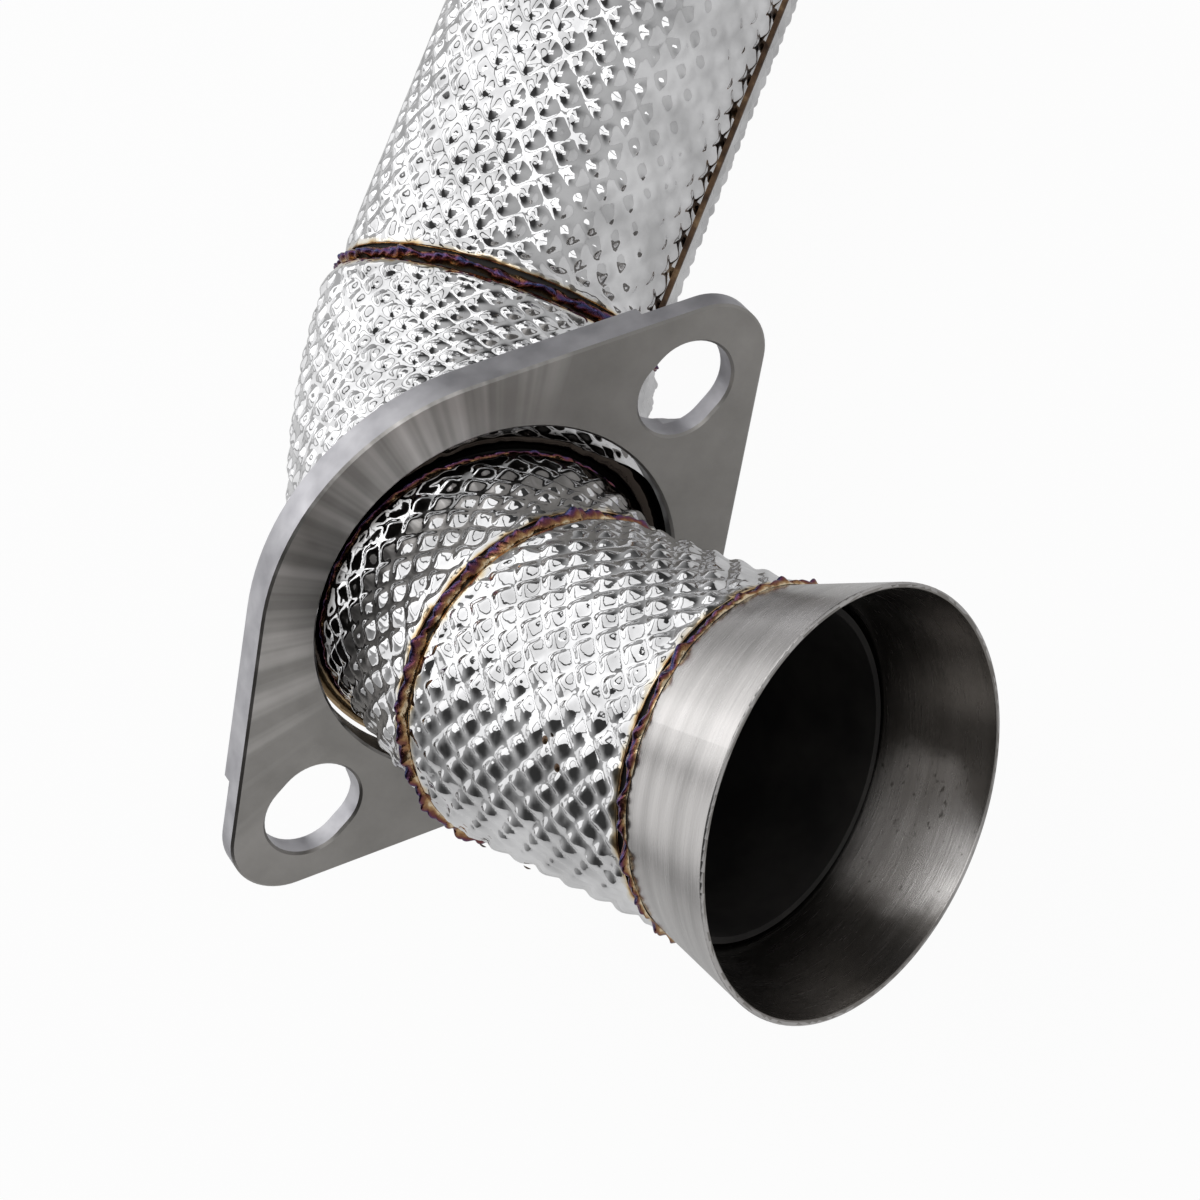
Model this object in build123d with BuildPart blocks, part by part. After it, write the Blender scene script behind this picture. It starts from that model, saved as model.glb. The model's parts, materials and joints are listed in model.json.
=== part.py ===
from build123d import *
from math import cos, pi, radians, sin, tan
import os

os.makedirs("parts", exist_ok=True)

# Heat-shielded exhaust downpipe, lying on a table on three points: the lip of
# its outlet flare, the round edge of its loose two-bolt flange and its inlet
# ring. The origin is the centre of the loose flange's front face, +X is the
# flange's normal towards the outlet, and +Z is up.

# Tube
tube_od = 76.2
tube_wall = 1.5

# Heat shields: stainless foil embossed with a diamond lattice of pillows, each
# sleeve standing off its tube and crimped down to it at both ends
shield_gap = 0.2
shield_standoff = 1.4
bend_shield_standoff = 4.0
pillow_height = 0.7
pillow_half_length = 4.2
pillows_round = 30
bend_pillows_round = 32
foil_wall = 0.3
rows_per_inside_row = 3
shield_crimp = 0.9
bend_crimp = 2.0
crimp_edge = 0.5
bend_crimp_edge = 2.0

# Pieces of the pipe from the collar weld to the outlet, each with its length
# and its direction, as azimuth and elevation in degrees
collar_weld_x = -5.6
collar_weld_y = -2.3
collar_weld_z = -0.8
neck_length = 39.0
neck_azimuth = 1.3
neck_elevation = 2.5
outlet_length = 64.9
outlet_azimuth = 17.8
outlet_elevation = -6.1

# Outlet flare
flare_length = 27.6
flare_azimuth = 19.6
flare_elevation = -11.3
flare_fit = 0.3
flare_mouth_r = 47.8
flare_wall = 1.3
flare_lap = 2.5
flare_lip_round = 0.4

# Bend and straight run, from the collar weld towards the inlet
bend_azimuth = 169.5
bend_elevation = -4.8
bend_radius = 92.5
run_azimuth = 112.1
run_elevation = -1.5
run_length = 128.0
bend_weld_before_end = 7.0

# Loose two-bolt flange, whose bore clears the tube and whose rim is as wide
# all round between the ears
flange_bore_clearance = 6.75
flange_rim_width = 13.45
flange_thickness = 9.2
ear_thickness = 5.8
ear_r = 14.3
ear_centre = 73.0
ear_spotface_r = 19.5
bolt_line_droop = 9.0
bolt_hole_offset = 64.6
bolt_slot_length = 24.6
bolt_slot_width = 21.0
flange_edge_break = 0.6

# Welds
bead_width = 4.4
bead_crown = 1.9
bead_root_gap = 0.25
flare_bead_width = 3.6
flare_bead_shoulder = 1.52
flare_bead_toe = 0.76
seam_bead_r = 1.5
seam_bead_rise = 0.9
seam_angle = 122.5
seat_gap = 0.05

# Tacks through the outlet shield: distance back from the flare weld, and
# angle from the top of the pipe
tack_r = 1.3
tack_rise = 0.45
tacks = [(22.9, -17.8), (18.1, -24.4), (47.2, -86.3), (60.3, -83.2)]

# Inlet ring
inlet_lip_r = 48.5
inlet_lip_width = 5.0
inlet_hub_wall = 3.35
inlet_ring_length = 16.0
inlet_shoulder = 3.0
inlet_slope_width = 2.4
inlet_fit = 0.15
inlet_bead_width = 4.0
inlet_bead_belly = 2.2
inlet_bead_toe = 0.57


def aim(azimuth, elevation):
    """Unit vector at an azimuth and an elevation."""
    flat = cos(radians(elevation))
    return Vector(
        flat * cos(radians(azimuth)),
        flat * sin(radians(azimuth)),
        sin(radians(elevation)),
    )


# Radii
tube_r = tube_od / 2
tube_bore_r = tube_r - tube_wall
shield_bore_r = tube_r + shield_gap
shield_r = shield_bore_r + shield_standoff
bend_shield_r = shield_bore_r + bend_shield_standoff
flare_small_r = tube_r + flare_fit + flare_wall
inlet_hub_r = tube_r + inlet_fit + inlet_hub_wall
flange_bore_r = tube_r + flange_bore_clearance
flange_broad_r = flange_bore_r + flange_rim_width

# Directions, all pointing downstream except the bend's and the run's
neck_dir = aim(neck_azimuth, neck_elevation)
outlet_dir = aim(outlet_azimuth, outlet_elevation)
flare_dir = aim(flare_azimuth, flare_elevation)
bend_dir = aim(bend_azimuth, bend_elevation)
run_dir = aim(run_azimuth, run_elevation)

# Weld centres from the collar to the flare's mouth
collar_weld_at = Vector(collar_weld_x, collar_weld_y, collar_weld_z)
elbow_weld_at = collar_weld_at + neck_dir * neck_length
flare_weld_at = elbow_weld_at + outlet_dir * outlet_length

# The bend's arc and the run behind it
bend_turn = bend_dir.get_angle(run_dir)
bend_up = run_dir.cross(bend_dir).normalized()
bend_side = (run_dir - bend_dir * run_dir.dot(bend_dir)).normalized()
bend_tangent = bend_radius * tan(radians(bend_turn / 2))
bend_corner = collar_weld_at + bend_dir * bend_tangent
bend_end = bend_corner + run_dir * bend_tangent
tube_end = bend_end + run_dir * run_length
inlet_face_at = tube_end + run_dir * inlet_shoulder

# The bend weld, a few degrees before the arc ends
bend_weld_turn = radians(bend_turn - bend_weld_before_end)
bend_weld_dir = bend_dir * cos(bend_weld_turn) + bend_side * sin(bend_weld_turn)
bend_weld_at = (
    collar_weld_at
    + bend_dir * (bend_radius * sin(bend_weld_turn))
    + bend_side * (bend_radius * (1 - cos(bend_weld_turn)))
)

# Mitre normals, each pointing downstream
collar_mitre = (neck_dir - bend_dir).normalized()
elbow_mitre = (neck_dir + outlet_dir).normalized()

# The bend starts a little past the collar weld so that its mitre can be cut
bend_lead = 3 * bead_width
bend_start = collar_weld_at - bend_dir * bend_lead
bend_centre = collar_weld_at + bend_side * bend_radius
bend_arc = bend_radius * radians(bend_turn)


def cut_plane(at, normal, offset=0.0):
    """Plane across the pipe at a weld, moved along its normal."""
    return Plane(origin=at + normal * offset, z_dir=normal)


def axial_plane(at, direction):
    """Plane through the pipe's axis: x runs along it, y points up from it."""
    side = direction.cross(Vector(0, 0, 1)).normalized()
    return Plane(origin=at, x_dir=direction, z_dir=side)


def straight_sleeve(outer_r, inner_r, start, direction, length):
    """Sleeve that runs past both ends of a straight piece, for cutting."""
    middle = start + direction * (length / 2)
    with BuildSketch(Plane(origin=middle, z_dir=direction)) as ring:
        Circle(outer_r)
        Circle(inner_r, mode=Mode.SUBTRACT)
    extrude(ring.sketch, amount=length / 2 + outer_r / 2, both=True)


def bent_sleeve(outer_r, inner_r):
    """Sleeve along the whole bend and run, for cutting."""
    with BuildSketch(Plane(origin=bend_end, z_dir=run_dir)) as ring:
        Circle(outer_r)
        Circle(inner_r, mode=Mode.SUBTRACT)
    extrude(ring.sketch, amount=run_length)
    revolve(ring.sketch, axis=Axis(bend_centre, bend_up), revolution_arc=bend_turn)
    with BuildSketch(Plane(origin=collar_weld_at, z_dir=-bend_dir)) as lead_ring:
        Circle(outer_r)
        Circle(inner_r, mode=Mode.SUBTRACT)
    extrude(lead_ring.sketch, amount=bend_lead)


def keep_between(back, front):
    """Cut the part in hand to what lies between two planes that face forward."""
    split(bisect_by=back, keep=Keep.TOP)
    split(bisect_by=front, keep=Keep.BOTTOM)


def straight_line(start, direction):
    """Line of a straight piece: a distance gives centre, direction, side and up."""
    side = direction.cross(Vector(0, 0, 1)).normalized()
    up = side.cross(direction).normalized()

    def at(distance):
        return start + direction * distance, direction, side, up

    return at


def bent_line(distance):
    """The same for the bend and the run, measured from the collar weld."""
    turn = min(max(distance / bend_radius, 0), radians(bend_turn))
    along = bend_dir * cos(turn) + bend_side * sin(turn)
    inward = bend_side * cos(turn) - bend_dir * sin(turn)
    past_arc = distance - bend_radius * turn
    centre = bend_centre - inward * bend_radius + along * past_arc
    return centre, along, inward, bend_up


def on_sleeve(line, distance, angle, radius):
    """Point on a sleeve round a line."""
    centre, _, side, up = line(distance)
    return centre + (side * cos(angle) + up * sin(angle)) * radius


def cut_distance(line, guess, angle, radius, plane):
    """Distance along a line at which its sleeve meets a cutting plane."""
    distance = guess
    for _ in range(4):
        direction = line(distance)[1]
        miss = plane.to_local_coords(on_sleeve(line, distance, angle, radius)).Z
        distance -= miss / direction.dot(plane.z_dir)
    return distance


def quad(first, second, third, fourth, diagonal):
    """Two triangles that fill four corners, parted along either diagonal."""
    if diagonal:
        corners = ((first, second, fourth), (second, third, fourth))
    else:
        corners = ((first, second, third), (first, third, fourth))
    return [Face(Wire.make_polygon(triangle, close=True)) for triangle in corners]


def embossed_foil(line, radius, pillows, crimp, edge_wall, ends, guesses):
    """Foil sleeve between two end planes, its outside a lattice of pillows.

    Each pillow is a low pyramid on a diamond. The two end rings lie in the end
    planes, and the inside is smooth.
    """
    columns = 2 * pillows
    angles = [2 * pi * column / columns for column in range(columns)]
    inner_r = radius - pillow_height - foil_wall
    spans = [
        [cut_distance(line, guess, angle, radius, plane) for angle in angles]
        for plane, guess in zip(ends, guesses)
    ]
    length = abs(guesses[1] - guesses[0]) - 2 * crimp
    rows = round(length / pillow_half_length)
    crimp_share = crimp / abs(guesses[1] - guesses[0])
    stations = [
        crimp_share + (1 - 2 * crimp_share) * row / rows for row in range(rows + 1)
    ]

    def row_of_points(station, level):
        return [
            on_sleeve(
                line,
                spans[0][column] + (spans[1][column] - spans[0][column]) * station,
                angles[column],
                level(column),
            )
            for column in range(columns)
        ]

    def end_ring(end, ring_r):
        return [
            on_sleeve(
                line,
                cut_distance(line, guesses[end], angle, ring_r, ends[end]),
                angle,
                ring_r,
            )
            for angle in angles
        ]

    bore_r = shield_bore_r / cos(pi / columns)
    outside = [
        row_of_points(
            station,
            lambda column: radius - pillow_height * ((row + column) % 2),
        )
        for row, station in enumerate(stations)
    ]
    outside = [end_ring(0, bore_r + edge_wall)] + outside + [end_ring(1, bore_r + edge_wall)]
    inside_stations = stations[:-1:rows_per_inside_row] + stations[-1:]
    inside = [
        row_of_points(station, lambda column: inner_r) for station in inside_stations
    ]
    inside = [end_ring(0, bore_r)] + inside + [end_ring(1, bore_r)]
    faces = []
    for sheet in (outside, inside, [outside[0], inside[0]], [outside[-1], inside[-1]]):
        for row in range(len(sheet) - 1):
            for column in range(columns):
                after = (column + 1) % columns
                faces += quad(
                    sheet[row][column],
                    sheet[row][after],
                    sheet[row + 1][after],
                    sheet[row + 1][column],
                    (row + column) % 2,
                )
    return Solid(Shell(faces))


def ring_bead(at, axis_dir, width):
    """Domed weld ring around the pipe, before the tubes are cut from it."""
    half = width / 2
    root = tube_r - bead_root_gap
    side = tube_r + bead_crown / 2
    with BuildSketch(axial_plane(at, axis_dir)) as bead:
        with BuildLine():
            Line((-half, root), (-half, side))
            ThreePointArc((-half, side), (0, tube_r + bead_crown), (half, side))
            Line((half, side), (half, root))
            Line((half, root), (-half, root))
        make_face()
    revolve(bead.sketch, axis=Axis(at, axis_dir))


def mitred_core(at, mitre, back_dir, front_dir):
    """Solid core of the two tubes that meet at a weld, to cut from its ring."""
    halves = []
    for direction, side in ((back_dir, Keep.BOTTOM), (front_dir, Keep.TOP)):
        with BuildPart() as half:
            with BuildSketch(Plane(origin=at, z_dir=direction)):
                Circle(tube_r + bead_root_gap)
            extrude(amount=tube_r, both=True)
            split(bisect_by=cut_plane(at, mitre), keep=side)
        halves.append(half.part)
    return halves


# Tube of the neck, mitred at both ends
with BuildPart() as neck_tube:
    straight_sleeve(tube_r, tube_bore_r, collar_weld_at, neck_dir, neck_length)
    keep_between(
        cut_plane(collar_weld_at, collar_mitre),
        cut_plane(elbow_weld_at, elbow_mitre),
    )

# Tube of the outlet, which ends a little way inside the flare
with BuildPart() as outlet_tube:
    straight_sleeve(tube_r, tube_bore_r, elbow_weld_at, outlet_dir, outlet_length)
    keep_between(
        cut_plane(elbow_weld_at, elbow_mitre),
        cut_plane(flare_weld_at, flare_dir, flare_lap),
    )

# Mandrel bend behind the flange
with BuildPart() as bend_tube:
    bent_sleeve(tube_r, tube_bore_r)
    keep_between(
        cut_plane(bend_weld_at, -bend_weld_dir),
        cut_plane(collar_weld_at, collar_mitre),
    )

# Run to the inlet, which starts with the last of the bend
with BuildPart() as run_tube:
    bent_sleeve(tube_r, tube_bore_r)
    split(bisect_by=cut_plane(bend_weld_at, bend_weld_dir), keep=Keep.TOP)

# Turned flare at the outlet
with BuildPart() as flare_cone:
    with BuildSketch(axial_plane(flare_weld_at, flare_dir)):
        with BuildLine():
            Polyline(
                (0, flare_small_r - flare_wall),
                (0, flare_small_r),
                (flare_length, flare_mouth_r),
                (flare_length, flare_mouth_r - flare_wall),
                close=True,
            )
        make_face()
    revolve(axis=Axis(flare_weld_at, flare_dir))
    mouth_edges = flare_cone.faces().sort_by(
        lambda f: cut_plane(flare_weld_at, flare_dir).to_local_coords(f.center()).Z
    )[-1].edges()
    fillet(mouth_edges, flare_lip_round)

# Shield on the neck
with BuildPart() as neck_shield:
    neck_back = cut_plane(collar_weld_at, collar_mitre, bead_width / 2)
    neck_front = cut_plane(elbow_weld_at, elbow_mitre, -bead_width / 2)
    add(
        embossed_foil(
            straight_line(collar_weld_at, neck_dir),
            shield_r,
            pillows_round,
            shield_crimp,
            crimp_edge,
            (neck_back, neck_front),
            (bead_width / 2, neck_length - bead_width / 2),
        )
    )

# Shield on the outlet tube
with BuildPart() as outlet_shield:
    outlet_back = cut_plane(elbow_weld_at, elbow_mitre, bead_width / 2)
    outlet_front = cut_plane(flare_weld_at, flare_dir, -flare_bead_width)
    add(
        embossed_foil(
            straight_line(elbow_weld_at, outlet_dir),
            shield_r,
            pillows_round,
            shield_crimp,
            crimp_edge,
            (outlet_back, outlet_front),
            (bead_width / 2, outlet_length - flare_bead_width),
        )
    )

# Shield around the bend, which stands further off the tube
bend_weld_distance = bend_radius * bend_weld_turn
with BuildPart() as bend_shield:
    bend_front = cut_plane(collar_weld_at, collar_mitre, -bead_width / 2)
    bend_back = cut_plane(bend_weld_at, -bend_weld_dir, bead_width / 2)
    add(
        embossed_foil(
            bent_line,
            bend_shield_r,
            bend_pillows_round,
            bend_crimp,
            bend_crimp_edge,
            (bend_front, bend_back),
            (bead_width / 2, bend_weld_distance - bead_width / 2),
        )
    )

# Shield on the run, which stops short of the inlet ring and its weld
run_shield_end = bend_arc + run_length + inlet_shoulder - inlet_ring_length - inlet_bead_width
with BuildPart() as run_shield:
    run_front = cut_plane(bend_weld_at, -bend_weld_dir, -bead_width / 2)
    run_back = cut_plane(
        inlet_face_at, -run_dir, inlet_ring_length + inlet_bead_width
    )
    add(
        embossed_foil(
            bent_line,
            shield_r,
            pillows_round,
            shield_crimp,
            crimp_edge,
            (run_front, run_back),
            (bend_weld_distance + bead_width / 2, run_shield_end),
        )
    )

# Seam weld along the run's shield
with BuildPart() as run_seam:
    with BuildLine():
        FilletPolyline(bend_start, bend_corner, tube_end, radius=bend_radius)
    with BuildSketch(Plane(origin=bend_start, x_dir=bend_up, z_dir=bend_dir)):
        with PolarLocations(
            shield_r + seam_bead_rise - seam_bead_r, 1, start_angle=seam_angle
        ):
            Circle(seam_bead_r)
        Circle(shield_r + seat_gap, mode=Mode.SUBTRACT)
    sweep()
    keep_between(
        cut_plane(
            inlet_face_at, -run_dir, inlet_ring_length + inlet_bead_width + shield_crimp
        ),
        cut_plane(bend_weld_at, -bend_weld_dir, -bead_width / 2 - shield_crimp),
    )

# Weld ring in the flange's bore, between the bend and the neck
collar_core = mitred_core(collar_weld_at, collar_mitre, -bend_dir, neck_dir)
with BuildPart() as collar_weld:
    ring_bead(collar_weld_at, collar_mitre, bead_width)
    add(collar_core, mode=Mode.SUBTRACT)

# Weld ring at the mitre between the neck and the outlet tube
elbow_core = mitred_core(elbow_weld_at, elbow_mitre, neck_dir, outlet_dir)
with BuildPart() as elbow_weld:
    ring_bead(elbow_weld_at, elbow_mitre, bead_width)
    add(elbow_core, mode=Mode.SUBTRACT)

# Weld ring between the bend and the run
with BuildPart() as bend_weld:
    ring_bead(bend_weld_at, bend_weld_dir, bead_width)
    with BuildSketch(cut_plane(bend_weld_at, bend_weld_dir)):
        Circle(tube_r + bead_root_gap)
    extrude(amount=bead_width, both=True, mode=Mode.SUBTRACT)

# Fillet weld that closes the flare's small end on the outlet tube
with BuildPart() as flare_weld:
    with BuildSketch(axial_plane(flare_weld_at, flare_dir)):
        with BuildLine():
            Line((0, tube_r - bead_root_gap), (0, flare_small_r))
            ThreePointArc(
                (0, flare_small_r),
                (-flare_bead_width / 2, tube_r + flare_bead_shoulder),
                (-flare_bead_width, tube_r + flare_bead_toe),
            )
            Line(
                (-flare_bead_width, tube_r + flare_bead_toe),
                (-flare_bead_width, tube_r - bead_root_gap),
            )
            Line(
                (-flare_bead_width, tube_r - bead_root_gap), (0, tube_r - bead_root_gap)
            )
        make_face()
    revolve(axis=Axis(flare_weld_at, flare_dir))
    add(outlet_tube.part, mode=Mode.SUBTRACT)

# Tacks through the outlet shield, each a low dome on the foil
tack_nodes = []
for number, (back, angle) in enumerate(tacks, start=1):
    outlet_up = axial_plane(flare_weld_at, outlet_dir).y_dir
    outlet_side = outlet_up.cross(outlet_dir)
    tack_plane = Plane(
        origin=flare_weld_at - outlet_dir * back,
        x_dir=outlet_up * cos(radians(angle)) + outlet_side * sin(radians(angle)),
        z_dir=-outlet_dir,
    )
    with BuildPart() as tack:
        with BuildSketch(tack_plane):
            with Locations((shield_r + tack_rise - tack_r, 0)):
                Circle(tack_r)
                Rectangle(
                    2 * tack_r, tack_r, align=(Align.CENTER, Align.MAX), mode=Mode.SUBTRACT
                )
        revolve(axis=Axis(tack_plane.origin, tack_plane.x_dir))
        with BuildSketch(tack_plane):
            Circle(shield_r + seat_gap)
        extrude(amount=2 * tack_r, both=True, mode=Mode.SUBTRACT)
    tack.part.label = f"foil_tack_{number}"
    tack_nodes.append(tack)

# Loose flange, sketched on its front face with x along the bolt line
flange_front = Plane(
    origin=(0, 0, 0),
    x_dir=(0, cos(radians(bolt_line_droop)), -sin(radians(bolt_line_droop))),
    z_dir=(1, 0, 0),
)
with BuildPart() as loose_flange:
    with BuildSketch(flange_front):
        Circle(flange_broad_r)
        with Locations((-ear_centre, 0), (ear_centre, 0)):
            Circle(ear_r)
        make_hull()
        Circle(flange_bore_r, mode=Mode.SUBTRACT)
        with Locations((-bolt_hole_offset, 0), (bolt_hole_offset, 0)):
            SlotOverall(bolt_slot_length, bolt_slot_width, mode=Mode.SUBTRACT)
    extrude(amount=-flange_thickness)
    front_face = loose_flange.faces().sort_by(Axis.X)[-1]
    back_face = loose_flange.faces().sort_by(Axis.X)[0]
    chamfer(front_face.edges() + back_face.edges(), flange_edge_break)
    with BuildSketch(flange_front.offset(-ear_thickness)):
        with Locations((-ear_centre, 0), (ear_centre, 0)):
            Circle(ear_spotface_r)
    extrude(amount=-flange_thickness, mode=Mode.SUBTRACT)

# Inlet ring: a turned lip with a sloped back, a hub over the tube and an
# inner shoulder that the tube butts against
with BuildPart() as inlet_ring:
    with BuildSketch(axial_plane(inlet_face_at, run_dir)):
        with BuildLine():
            Polyline(
                (0, tube_bore_r),
                (0, inlet_lip_r),
                (-inlet_lip_width, inlet_lip_r),
                (-inlet_lip_width - inlet_slope_width, inlet_hub_r),
                (-inlet_ring_length, inlet_hub_r),
                (-inlet_ring_length, tube_r + inlet_fit),
                (-inlet_shoulder, tube_r + inlet_fit),
                (-inlet_shoulder, tube_bore_r),
                close=True,
            )
        make_face()
    revolve(axis=Axis(inlet_face_at, run_dir))

# Fillet weld between the inlet ring's hub and the tube
with BuildPart() as inlet_weld:
    inlet_weld_at = inlet_face_at - run_dir * inlet_ring_length
    with BuildSketch(axial_plane(inlet_weld_at, run_dir)):
        with BuildLine():
            Line((0, tube_r), (0, inlet_hub_r - inlet_fit))
            ThreePointArc(
                (0, inlet_hub_r - inlet_fit),
                (-inlet_bead_width / 2, tube_r + inlet_bead_belly),
                (-inlet_bead_width, tube_r + inlet_bead_toe),
            )
            Line(
                (-inlet_bead_width, tube_r + inlet_bead_toe),
                (-inlet_bead_width, tube_r),
            )
            Line((-inlet_bead_width, tube_r), (0, tube_r))
        make_face()
    revolve(axis=Axis(inlet_weld_at, run_dir))

flare_cone.part.label = "flare_cone"
flare_weld.part.label = "flare_weld"
outlet_tube.part.label = "outlet_tube"
outlet_shield.part.label = "outlet_shield"
elbow_weld.part.label = "elbow_weld"
neck_tube.part.label = "neck_tube"
neck_shield.part.label = "neck_shield"
loose_flange.part.label = "loose_flange"
collar_weld.part.label = "collar_weld"
bend_tube.part.label = "bend_tube"
bend_shield.part.label = "bend_shield"
bend_weld.part.label = "bend_weld"
run_tube.part.label = "run_tube"
run_shield.part.label = "run_shield"
run_seam.part.label = "run_seam"
inlet_ring.part.label = "inlet_ring"
inlet_weld.part.label = "inlet_weld"

export_step(flare_cone.part, "parts/flare_cone.step")
export_step(flare_weld.part, "parts/flare_weld.step")
export_step(outlet_tube.part, "parts/outlet_tube.step")
export_step(outlet_shield.part, "parts/outlet_shield.step")
export_step(elbow_weld.part, "parts/elbow_weld.step")
export_step(neck_tube.part, "parts/neck_tube.step")
export_step(neck_shield.part, "parts/neck_shield.step")
export_step(loose_flange.part, "parts/loose_flange.step")
export_step(collar_weld.part, "parts/collar_weld.step")
export_step(bend_tube.part, "parts/bend_tube.step")
export_step(bend_shield.part, "parts/bend_shield.step")
export_step(bend_weld.part, "parts/bend_weld.step")
export_step(run_tube.part, "parts/run_tube.step")
export_step(run_shield.part, "parts/run_shield.step")
export_step(run_seam.part, "parts/run_seam.step")
export_step(inlet_ring.part, "parts/inlet_ring.step")
export_step(inlet_weld.part, "parts/inlet_weld.step")
for tack in tack_nodes:
    export_step(tack.part, f"parts/{tack.part.label}.step")
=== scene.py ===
import json
from math import ceil, cos, exp, pi, radians, sin, sqrt

import bmesh
import bpy
from mathutils import Matrix, Vector, noise


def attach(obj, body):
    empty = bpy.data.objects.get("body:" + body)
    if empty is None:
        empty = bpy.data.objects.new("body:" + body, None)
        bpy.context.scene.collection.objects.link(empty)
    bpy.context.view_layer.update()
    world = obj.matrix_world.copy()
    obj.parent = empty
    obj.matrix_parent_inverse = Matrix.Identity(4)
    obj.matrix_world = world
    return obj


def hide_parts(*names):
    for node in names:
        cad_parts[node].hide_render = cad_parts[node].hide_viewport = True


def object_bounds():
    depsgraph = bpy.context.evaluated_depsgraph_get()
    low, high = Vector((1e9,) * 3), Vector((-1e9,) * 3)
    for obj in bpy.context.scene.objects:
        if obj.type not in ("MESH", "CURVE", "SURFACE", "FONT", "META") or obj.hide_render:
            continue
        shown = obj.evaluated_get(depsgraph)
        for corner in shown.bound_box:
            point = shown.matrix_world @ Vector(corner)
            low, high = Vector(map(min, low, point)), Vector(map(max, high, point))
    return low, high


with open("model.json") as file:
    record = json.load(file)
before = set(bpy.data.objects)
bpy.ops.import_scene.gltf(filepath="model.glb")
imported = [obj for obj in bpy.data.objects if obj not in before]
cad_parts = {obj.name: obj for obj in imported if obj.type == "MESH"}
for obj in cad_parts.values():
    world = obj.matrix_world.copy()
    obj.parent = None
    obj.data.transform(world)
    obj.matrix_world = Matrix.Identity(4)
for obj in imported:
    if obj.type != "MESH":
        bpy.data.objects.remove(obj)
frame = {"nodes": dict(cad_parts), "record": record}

cad_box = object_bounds()
scene = bpy.context.scene
scene.view_settings.view_transform = "Standard"
mm = 0.001


# Camera
# It looks steeply down on the pipe from the outlet side, rolled so that the
# straight run climbs to the top edge of the picture.
picture_px = 1200
focal_px = 3848.0
sensor_mm = 36.0
camera_at = Vector((664.8, 200.5, 538.4)) * mm
camera_forward = Vector((-0.7454, -0.2133, -0.6316)).normalized()
picture_up = Vector((-0.5026, 0.8023, 0.3222))
picture_right = camera_forward.cross(picture_up).normalized()
picture_up = picture_right.cross(camera_forward).normalized()

camera_data = bpy.data.cameras.new("camera")
camera_data.sensor_width = sensor_mm
camera_data.lens = focal_px / picture_px * sensor_mm
camera_data.clip_start = 0.01
camera_data.clip_end = 20.0
camera = bpy.data.objects.new("camera", camera_data)
camera_turn = Matrix((picture_right, picture_up, -camera_forward)).transposed()
camera.matrix_world = Matrix.Translation(camera_at) @ camera_turn.to_4x4()
scene.collection.objects.link(camera)
scene.camera = camera


# Floor and light
# A plain pale table top under three soft lamps, each a row of strips, in a dim
# room with two paler walls for the metal to reflect.
floor_size = 40.0
floor_white = 0.66
floor_glow = 0.96
floor_glow_in_metal = 0.32
room_dark = 0.04
room_bright = 0.50
wall_edge = 0.25
bright_walls = [(-0.93, -0.30, 0.21), (0.83, 0.54, 0.12)]
lamps = {
    "key_lamp": {
        "at": (-0.60, 0.32, 1.17), "strips": 4, "wide": 0.50, "long": 2.1, "gap": 0.10, "power": 3.15,
    },
    "left_lamp": {
        "at": (-1.02, -0.64, 0.49), "strips": 2, "wide": 0.45, "long": 0.8, "gap": 0.12, "power": 0.6,
    },
    "front_lamp": {
        "at": (0.59, 0.59, 1.19), "strips": 2, "wide": 0.50, "long": 1.1, "gap": 0.10, "power": 1.7,
    },
}


def new_object(name, bm, body=None, smooth=True):
    """Mesh object from a finished bmesh, riding on a body."""
    data = bpy.data.meshes.new(name)
    bm.to_mesh(data)
    bm.free()
    if smooth:
        for polygon in data.polygons:
            polygon.use_smooth = True
    piece = bpy.data.objects.new(name, data)
    scene.collection.objects.link(piece)
    if body:
        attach(piece, body)
    return piece


def new_material(name, **sockets):
    """Principled material with its plain numbers set on the shader."""
    material = bpy.data.materials.new(name)
    material.use_nodes = True
    shader = material.node_tree.nodes["Principled BSDF"]
    for socket, value in sockets.items():
        shader.inputs[socket.replace("_", " ")].default_value = value
    return material, material.node_tree, shader


def math_node(tree, operation, *operands):
    """One Math node; each operand is a socket or a number."""
    node = tree.nodes.new("ShaderNodeMath")
    node.operation = operation
    for socket, operand in zip(node.inputs, operands):
        if isinstance(operand, (int, float)):
            socket.default_value = operand
        else:
            tree.links.new(operand, socket)
    return node.outputs["Value"]


floor_bm = bmesh.new()
bmesh.ops.create_grid(floor_bm, x_segments=1, y_segments=1, size=floor_size / 2)
floor_height = cad_box[0][2]
bmesh.ops.translate(floor_bm, verts=floor_bm.verts, vec=(0, 0, floor_height))
floor = new_object("floor", floor_bm, smooth=False)
floor_material, tree, shader = new_material("pale_table", Roughness=0.9, Specular_IOR_Level=0.0)
shader.inputs["Base Color"].default_value = (floor_white, floor_white, floor_white, 1)
glow = tree.nodes.new("ShaderNodeEmission")
rays = tree.nodes.new("ShaderNodeLightPath")
mirrored = math_node(
    tree, "MAXIMUM", rays.outputs["Is Glossy Ray"], rays.outputs["Is Transmission Ray"]
)
in_metal = math_node(tree, "MULTIPLY", mirrored, floor_glow_in_metal)
table_top = tree.nodes.new("ShaderNodeMixShader")
tree.links.new(
    math_node(tree, "MULTIPLY_ADD", rays.outputs["Is Camera Ray"], floor_glow, in_metal),
    table_top.inputs["Fac"],
)
tree.links.new(shader.outputs["BSDF"], table_top.inputs[1])
tree.links.new(glow.outputs["Emission"], table_top.inputs[2])
tree.links.new(table_top.outputs["Shader"], tree.nodes["Material Output"].inputs["Surface"])
floor.data.materials.append(floor_material)

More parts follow.
